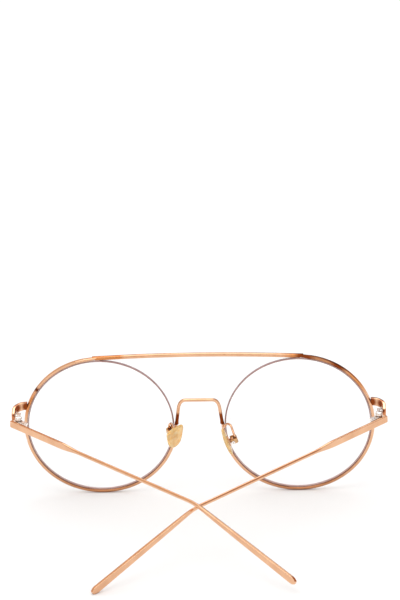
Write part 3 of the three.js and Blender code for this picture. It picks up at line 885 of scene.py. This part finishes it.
def hinge_leaf_shape(direction, spans):
    """A leaf: its plate against the strip, and one barrel with its arm for each span of height."""
    near, far = HINGE_PLATE_SPAN
    right = BLADE_OFFSET - BLADE_THICKNESS / 2 - 0.02
    left = right - HINGE_PLATE_THICKNESS
    low, high = spans[0][0], spans[-1][1]
    outline = [(x, direction * z) for x, z in ((left, near), (right, near), (right, far), (left, far))]
    if direction < 0:
        outline.reverse()
    shape = plate([outline], high - low, 0.12).moved(LAID_FLAT)
    shape.moved(Matrix.Translation((0, (low + high) / 2, 0)))
    for bottom, top in spans:
        shape.add(leaf_arm(direction, bottom, top))
    return shape


KNUCKLE_TOP = TEMPLE_KNUCKLE_HEIGHT / 2
FRONT_SPANS = (
    (-HINGE_HEIGHT / 2, -KNUCKLE_TOP - KNUCKLE_GAP),
    (KNUCKLE_TOP + KNUCKLE_GAP, HINGE_HEIGHT / 2),
)
TEMPLE_SPANS = ((-KNUCKLE_TOP, KNUCKLE_TOP),)


def slotted_screw(radius, head_radius, head_height, bottom, under, slot_width):
    """A screw along Y with a rounded head that has a slot across it."""
    top = under + head_height
    chamfer = SCREW_TIP_CHAMFER
    profile = [
        (0.01, bottom), (radius - chamfer, bottom), (radius, bottom + chamfer), (radius, under),
        (head_radius, under), (head_radius, top - 0.2), (head_radius - 0.06, top - 0.08),
        (head_radius - 0.2, top - 0.01), (0.01, top - 0.01),
    ]
    screw = Shape().lathe(profile, 40)
    half = slot_width / 2
    depth = head_height * 0.55
    chord = math.sqrt((head_radius - 0.02) ** 2 - half**2)
    # Two half moons stand on the head, and the slot is the gap between them.
    for sign in (-1, 1):
        angle = math.degrees(math.atan2(half, chord))
        moon = arc(0, 0, head_radius - 0.02, angle, 180 - angle, 20)
        moon = [(x, sign * y) for x, y in moon]
        if sign < 0:
            moon.reverse()
        raised = plate([moon], depth, 0.08).moved(LAID_FLAT)
        screw.add(raised.moved(Matrix.Translation((0, top - depth / 2, 0))))
    for i, point in enumerate(screw.points[: len(profile) * 40]):
        screw.points[i] = Vector((point.x, min(point.y, top - depth), point.z))
    return screw


def hinge_screw_shape():
    head = (HINGE_HEAD_RADIUS, HINGE_HEAD_HEIGHT)
    tip, under = -HINGE_HEIGHT / 2, HINGE_HEIGHT / 2 + 0.05
    return slotted_screw(HINGE_SCREW_RADIUS, *head, tip, under, HINGE_SCREW_SLOT)


# Temples


def temple_line(along, fall_degrees):
    """How far back and down the temple's line is at a distance along it, and how steeply it falls there."""
    fall = math.radians(fall_degrees)
    bend_radius = EAR_BEND_LENGTH / math.radians(EAR_BEND_DEGREES)
    straight = min(along, TEMPLE_TO_BEND)
    turned = min(max(along - TEMPLE_TO_BEND, 0), EAR_BEND_LENGTH) / bend_radius
    past = max(along - TEMPLE_TO_BEND - EAR_BEND_LENGTH, 0)
    slope = fall + turned
    bend_back = bend_radius * (math.sin(slope) - math.sin(fall))
    bend_down = bend_radius * (math.cos(fall) - math.cos(slope))
    back = straight * math.cos(fall) + bend_back + past * math.cos(slope)
    down = straight * math.sin(fall) + bend_down + past * math.sin(slope)
    return back, down, slope


def super_section(half_thickness, half_height, power, count=32):
    """A section between an ellipse, at power 2, and a rectangle, at high powers."""
    points = []
    for i in range(count):
        angle = 2 * math.pi * (i + 0.5) / count
        x, y = math.cos(angle), math.sin(angle)
        points.append((
            math.copysign(abs(x) ** (2 / power) * half_thickness, x),
            math.copysign(abs(y) ** (2 / power) * half_height, y),
        ))
    return points


def temple_shape(fall_degrees):
    """Flat from the hinge, tapering to a round rod, bent for the ear and flattened again to a paddle."""
    length = TEMPLE_TO_BEND + EAR_BEND_LENGTH + TEMPLE_AFTER_BEND
    paddle_start = TEMPLE_TO_BEND + EAR_BEND_LENGTH / 2
    steps = 150
    stations = []
    for i in range(steps + 1):
        along = mix(-BLADE_AHEAD, length, i / steps)
        back, down, slope = temple_line(along, fall_degrees)
        to_rod = smoothstep(along, BLADE_END, BLADE_TAPER_END)
        to_paddle = max(along - paddle_start, 0) / (length - paddle_start)
        tip = math.sqrt(1 - 0.8 * smoothstep(along, length - PADDLE_TIP_LENGTH, length))
        height = mix(mix(BLADE_HEIGHT, ROD_DIAMETER, to_rod), PADDLE_HEIGHT, to_paddle) * tip
        thickness = mix(mix(BLADE_THICKNESS, ROD_DIAMETER, to_rod), PADDLE_THICKNESS, to_paddle)
        flatness = max(1 - to_rod, min(2 * to_paddle, 1))
        middle = Vector((BLADE_OFFSET, TEMPLE_Y - HINGE_Y - down, back))
        up = Vector((0, math.cos(slope), math.sin(slope)))
        section = super_section(thickness / 2, height / 2, mix(2, 7, flatness))
        stations.append((middle, Vector((1, 0, 0)), up, section))
    return bar_of(stations, 0.22)


# Nose pads


def pad_outline(steps=12):
    """A shield, broad near the top, as one closed run of points."""
    half = PAD_WIDTH / 2
    top = PAD_LENGTH * 0.42
    bottom = top - PAD_LENGTH
    widest = top * 0.45
    curves = (
        ((0, bottom), (half * 0.7, bottom), (half * 0.86, bottom * 0.5), (half, widest)),
        ((half, widest), (half, top * 0.95), (half * 0.8, top), (0, top)),
    )
    points = []
    for a, b, c, d in curves:
        for i in range(steps):
            t = i / steps
            weights = ((1 - t) ** 3, 3 * t * (1 - t) ** 2, 3 * t * t * (1 - t), t**3)
            points.append(tuple(sum(w * p[k] for w, p in zip(weights, (a, b, c, d))) for k in (0, 1)))
    points.append((0, top))
    mirrored = [(-x, y) for x, y in reversed(points[1:-1])]
    return [*points, *mirrored]


def nose_pad_shape():
    """A cushion on the shield outline: domed towards the nose and flatter behind, and slightly bowed."""
    outline = pad_outline()
    half = PAD_THICKNESS / 2
    rings = []
    steps = 18
    for i in range(steps + 1):
        angle = math.radians(mix(-90, 90, i / steps))
        inset = max(math.cos(angle), 0) ** 0.42
        height = math.sin(angle)
        height = height * half if height > 0 else height * half * 0.9
        scale = max(inset, 0.02)
        bow = 0.25 * (1 - scale**2)
        drop = 0.3 * (1 - scale)
        level = PAD_STANDOFF + height - bow * 0.4
        rings.append([(x * scale, y * scale - drop, level) for x, y in outline])
    return Shape().skin(rings)


def pad_core_shape():
    """The metal core behind the pad: a plate with round ends, and a tab whose eye takes the screw."""
    top = PAD_STANDOFF - PAD_THICKNESS / 2 - 0.02
    upper = arc(0, PAD_CORE_REACH, PAD_CORE_RADIUS, 0, 180, 12)
    lower = arc(0, -PAD_CORE_REACH, PAD_CORE_RADIUS, 180, 360, 12)
    core = plate([[*upper, *lower]], PAD_CORE_THICKNESS, 0.1)
    core.moved(Matrix.Translation((0, 0, top - PAD_CORE_THICKNESS / 2)))
    ring = arc(0, 0, PAD_TAB_RADIUS, 135, 405, 24)
    stem = [*ring, (PAD_TAB_NECK, top - 0.1), (-PAD_TAB_NECK, top - 0.1)]
    eye = circle(PAD_TAB_EYE_RADIUS, 16)
    tab = plate([stem, eye], PAD_TAB_THICKNESS, 0.1)
    # The tab is drawn across the screw, with its second axis towards the nose.
    across = Matrix(((0, 0, 1, 0), (1, 0, 0, 0), (0, 1, 0, 0), (0, 0, 0, 1)))
    return core.add(tab.moved(across))


def pad_box_shape():
    """The box on the arm's end: a U of sheet with two cheeks that the screw crosses."""
    w, c = PAD_BOX_HALF_WIDTH, PAD_BOX_CHEEK
    back, front, floor = PAD_BOX_BACK, PAD_BOX_FRONT, PAD_BOX_BACK + PAD_BOX_WALL
    outline = [
        (-w, front), (-w, back + 0.5), (-w + 0.2, back + 0.15), (-w + 0.5, back),
        (w - 0.5, back), (w - 0.2, back + 0.15), (w, back + 0.5), (w, front),
        (w - c, front), (w - c, floor), (-w + c, floor), (-w + c, front),
    ]
    return plate([outline], 2 * PAD_BOX_HALF_HEIGHT, 0.12).moved(LAID_FLAT)


def pad_screw_shape():
    head = (PAD_SCREW_HEAD_RADIUS, PAD_SCREW_HEAD_HEIGHT)
    tip, under = -PAD_BOX_HALF_WIDTH - 0.05, PAD_BOX_HALF_WIDTH + 0.02
    return slotted_screw(PAD_SCREW_RADIUS, *head, tip, under, PAD_SCREW_SLOT).moved(turn(-90, "Z"))


def pad_arm_shape(side, sign, place):
    """A wire from the rim's back, up and over in a loop, and down onto the top of the pad's box."""
    mirror = Matrix.Scale(-1, 4, (1, 0, 0)) if sign < 0 else Matrix.Identity(4)
    route = [mirror @ Vector(point) for point in PADS[side]["route"]]
    for gap in PADS[side]["over_box"]:
        route.append(place @ Vector((0, PAD_BOX_HALF_HEIGHT + gap - 0.05, PAD_BOX_BACK + PAD_BOX_WALL)))

    def radius_at(share):
        return PAD_ARM_RADIUS * (1 + 0.3 * (1 - smoothstep(share, 0, 0.1)))

    return wire(catmull_rom(route, 8), radius_at, sides=16, soften=0.12)


# Assembly


def build_front():
    make_piece("straight_brow_bar", brow_bar_shape(), FACE, [BAR_GOLD], "front", ["brow_bar"])
    make_piece("nose_bridge", bridge_shape(), FACE, [BRIDGE_GOLD], "front", ["bridge_wire"])
    for side, sign in SIDES:
        mirror = sign < 0

        def front_piece(name, shape, materials, node, matrix=FACE):
            make_piece(f"{side}_{name}", shape, matrix, materials, "front", [f"{node}_{side}"], mirror)

        front_piece("lens", lens_shape(), [LENS_CLEAR, LENS_EDGE_WITH_PAINTED_SHADE], "lens")
        front_piece("rim", rim_shape(), [RIM_GOLD[side]], "rim")
        front_piece("lens_cord", lens_cord_shape(), [NYLON], "lens_cord")
        front_piece("end_piece", end_piece_shape(), [END_PIECE_GOLD[side]], "end_piece")
        hinge = hinge_matrix(side, sign, False)
        leaf = hinge_leaf_shape(-1, FRONT_SPANS)
        front_piece("hinge_front_leaf", leaf, [BRIGHT_STEEL], "hinge_front_leaf", hinge)
        front_piece("hinge_screw", hinge_screw_shape(), [BRIGHT_STEEL], "hinge_screw", hinge)


def build_temples():
    for side, sign in SIDES:
        matrix = hinge_matrix(side, sign, True)
        body = f"temple_{side}"
        mirror = sign < 0
        leaf = hinge_leaf_shape(1, TEMPLE_SPANS)
        temple = temple_shape(TEMPLE_FALL_DEGREES[side])

        def temple_piece(name, shape, material):
            make_piece(f"{side}_{name}", shape, matrix, [material], body, [f"{name}_{side}"], mirror)

        temple_piece("temple", temple, ROSE_GOLD)
        temple_piece("hinge_temple_leaf", leaf, BRIGHT_STEEL)


def build_pads():
    for side, sign in SIDES:
        place = pad_place(side, sign)
        matrix = FACE @ place
        body = f"pad_{side}"
        mirror = sign < 0

        def pad_piece(name, shape, material, rides_on):
            nodes = [f"{name}_{side}"]
            make_piece(f"{side}_{name}", shape, matrix, [material], rides_on, nodes, mirror)

        pad_piece("nose_pad", nose_pad_shape(), SILICONE, body)
        pad_piece("pad_core", pad_core_shape(), ROSE_GOLD, body)
        # The box's darker plating is painted shade.
        pad_piece("pad_box", pad_box_shape(), BOX_GOLD_PAINTED_SHADE, "front")
        pad_piece("pad_screw", pad_screw_shape(), BRIGHT_STEEL, "front")
        arm = pad_arm_shape(side, sign, place)
        make_piece(f"{side}_pad_arm", arm, FACE, [ROSE_GOLD], "front", [f"pad_arm_{side}"])


# Studio


def make_camera():
    yaw, pitch, roll = (math.radians(a) for a in (CAMERA_YAW, CAMERA_PITCH, CAMERA_ROLL))
    ahead = Vector((math.sin(yaw) * math.cos(pitch), math.cos(yaw) * math.cos(pitch), -math.sin(pitch)))
    level = Vector((math.cos(yaw), -math.sin(yaw), 0))
    down = ahead.cross(level)
    right = level * math.cos(roll) + down * math.sin(roll)
    up = level * math.sin(roll) - down * math.cos(roll)
    data = bpy.data.cameras.new("camera")
    data.lens = CAMERA_LENS
    data.sensor_width = CAMERA_SENSOR
    data.clip_end = 100
    camera = bpy.data.objects.new("camera", data)
    bpy.context.scene.collection.objects.link(camera)
    axes = Matrix((right, up, -ahead)).transposed().to_4x4()
    camera.matrix_world = Matrix.Translation((Vector(CAMERA_TARGET) - ahead * CAMERA_DISTANCE) * MM) @ axes
    bpy.context.scene.camera = camera


def make_floor():
    size = 6.0
    mesh = bpy.data.meshes.new("floor")
    corners = [(-size, -size, 0), (size, -size, 0), (size, size, 0), (-size, size, 0)]
    mesh.from_pydata(corners, [], [(0, 1, 2, 3)])
    floor = bpy.data.objects.new("floor", mesh)
    material, tree, shader = new_material("pale_floor")
    shader.inputs["Base Color"].default_value = (0.93, 0.93, 0.93, 1)
    shader.inputs["Roughness"].default_value = 0.7
    mesh.materials.append(material)
    bpy.context.scene.collection.objects.link(floor)


# Cards in the dome for the metal to mirror: the bearing and height that each reaches from and to,
# how soft its edges are, all in degrees, and its colour
CARDS = (
    (-120, -18, 4, 62, 8, (0.82, 0.66, 0.52)),
    (-74, -42, 0, 13, 3, (0.12, 0.04, 0.015)),
    (-12, -4, 28, 42, 1.5, (0.60, 0.28, 0.13)),
    (42, 112, 12, 64, 8, (0.42, 0.20, 0.10)),
    (1.5, 44, 7, 43, 3, (0.17, 0.055, 0.02)),
    (-16, 16, 46, 57, 3, (3.2, 3.2, 3.2)),
)


def make_lights():
    """A pale dome with the cards in it, and a broad soft lamp from above."""
    world = bpy.data.worlds.new("studio")
    world.use_nodes = True
    bpy.context.scene.world = world
    tree = world.node_tree
    parts = add_node(tree, "SeparateXYZ", Vector=add_node(tree, "TexCoord").outputs["Generated"]).outputs
    bearing = math_of(tree, "DEGREES", math_of(tree, "ARCTAN2", parts["X"], parts["Y"]))
    height = math_of(tree, "DEGREES", math_of(tree, "ARCSINE", parts["Z"]))
    light = (1, 1, 1, 1)
    for left, right, bottom, top, soft, colour in CARDS:
        across = between(tree, bearing, left, right, soft)
        cover = math_of(tree, "MULTIPLY", across, between(tree, height, bottom, top, soft))
        light = add_node(tree, "MixRGB", Fac=cover, Color1=light, Color2=(*colour, 1)).outputs["Color"]
    rays = add_node(tree, "LightPath").outputs
    plain = math_of(tree, "MAXIMUM", rays["Is Camera Ray"], rays["Is Diffuse Ray"])
    shown = add_node(tree, "MixRGB", Fac=plain, Color1=light, Color2=(1, 1, 1, 1)).outputs["Color"]
    tree.links.new(shown, tree.nodes["Background"].inputs["Color"])
    lamp = bpy.data.lights.new("soft_lamp", "SUN")
    lamp.energy = LAMP_ENERGY
    lamp.angle = math.radians(40)
    holder = bpy.data.objects.new("soft_lamp", lamp)
    holder.rotation_euler = (math.radians(24), math.radians(-10), 0)
    bpy.context.scene.collection.objects.link(holder)


bpy.context.scene.view_settings.view_transform = "Standard"
make_camera()
make_floor()
make_lights()
build_front()
build_temples()
build_pads()
